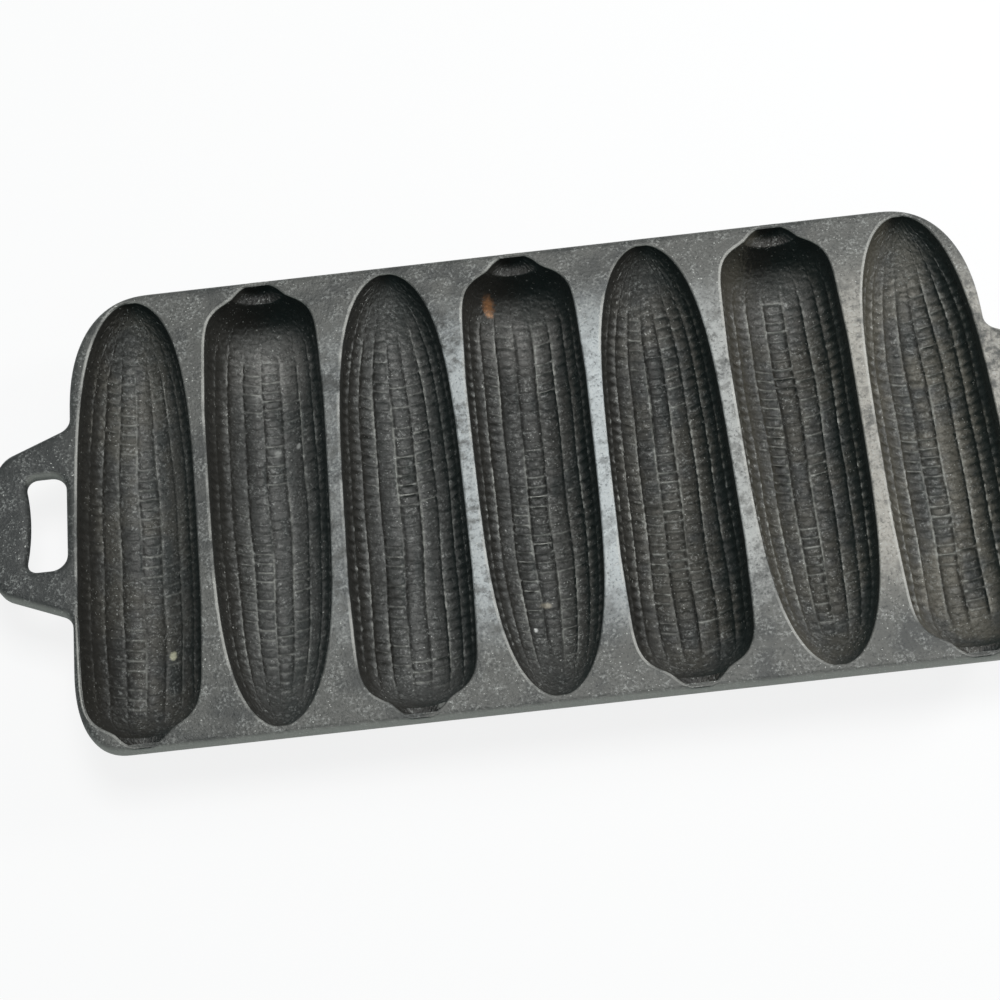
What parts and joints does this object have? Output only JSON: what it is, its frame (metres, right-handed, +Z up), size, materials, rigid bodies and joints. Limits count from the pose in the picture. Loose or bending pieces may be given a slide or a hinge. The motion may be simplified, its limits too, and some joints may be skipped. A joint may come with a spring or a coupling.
{
  "type": "corn stick pan",
  "caption": "Cast iron corn stick pan: a flat deck with cob-shaped moulds side by side, tips alternating, and a slotted bow handle at each end.",
  "frame": {"origin": "under the middle of the pan, on the plane that the cups rest on", "axes": "+X along the row of cups towards the right handle, +Y away from the cook, where the first cup's tip points, +Z up out of the cups"},
  "size_m": [0.3366, 0.1482, 0.0254],
  "materials": {
    "seasoned_cast_iron": "satin"
  },
  "bodies": {
    "root": {"deck_plate": "seasoned_cast_iron", "left_handle": "seasoned_cast_iron", "right_handle": "seasoned_cast_iron", "cob_cup_1": "seasoned_cast_iron", "cob_cup_2": "seasoned_cast_iron", "cob_cup_3": "seasoned_cast_iron", "cob_cup_4": "seasoned_cast_iron", "cob_cup_5": "seasoned_cast_iron", "cob_cup_6": "seasoned_cast_iron", "cob_cup_7": "seasoned_cast_iron"}
  },
  "joints": []
}
